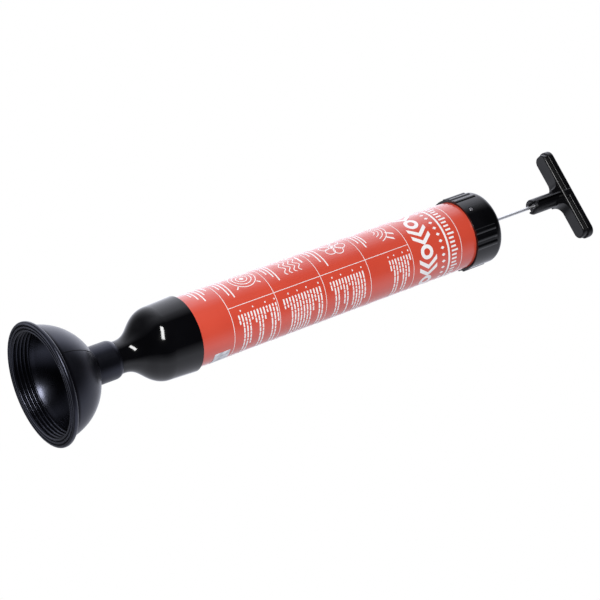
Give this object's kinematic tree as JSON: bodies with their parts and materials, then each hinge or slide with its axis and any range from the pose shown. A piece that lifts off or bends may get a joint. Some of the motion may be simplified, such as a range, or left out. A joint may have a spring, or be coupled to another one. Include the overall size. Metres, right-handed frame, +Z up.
{
  "type": "drain pump",
  "caption": "Hand drain pump: a rubber suction cup on a funnel nozzle, a round barrel with a ribbed rear cap, and a piston rod with a T-handle.",
  "frame": {"origin": "centre of the circle in which the cup's rim meets a flat surface, at the bottom of the object", "axes": "+Z up the barrel's axis from the cup's mouth to the handle, +X along the handle's grip bar"},
  "size_m": [0.1204, 0.1204, 0.6464],
  "materials": {
    "cup_rubber": "matte black rubber with a fine bloom",
    "nozzle_plastic": "polished black moulding",
    "barrel_red": "smooth red, slightly glossy",
    "print_white": "thin white ink",
    "cap_plastic": "satin black moulding",
    "handle_plastic": "satin black moulding",
    "rod_steel": "bright drawn steel",
    "screw_steel": "bright zinc-plated steel",
    "seal_rubber": "smooth black nitrile rubber",
    "piston_plastic": "natural acetal",
    "guide_plastic": "natural bearing plastic"
  },
  "bodies": {
    "barrel": {"suction_cup": "cup_rubber", "nozzle": "nozzle_plastic", "nozzle_gasket": "seal_rubber", "barrel_tube": "barrel_red", "cap_gasket": "seal_rubber", "rear_cap": "cap_plastic", "cap_screws": "screw_steel", "rod_bush": "guide_plastic", "rod_wiper": "seal_rubber", "wiper_retainer": "screw_steel", "rear_bumper": "seal_rubber"},
    "piston": {"piston_body": "piston_plastic", "front_piston_cup": "seal_rubber", "rear_piston_cup": "seal_rubber", "piston_wear_ring": "guide_plastic"},
    "plunger": {"front_washer": "screw_steel", "rear_washer": "screw_steel", "piston_nut": "screw_steel", "jam_nut": "screw_steel", "piston_rod": "rod_steel", "handle_grip": "handle_plastic", "handle_insert": "screw_steel"}
  },
  "joints": [
    {"name": "plunger_slide", "type": "slide", "parent": "barrel", "child": "piston", "axis": [0, 0, 1], "range_m": [-0.068, 0.2783]},
    {"name": "handle_turn", "type": "hinge", "parent": "piston", "child": "plunger", "pos_m": [0, 0, 0.5], "axis": [0, 0, 1], "continuous": true}
  ]
}
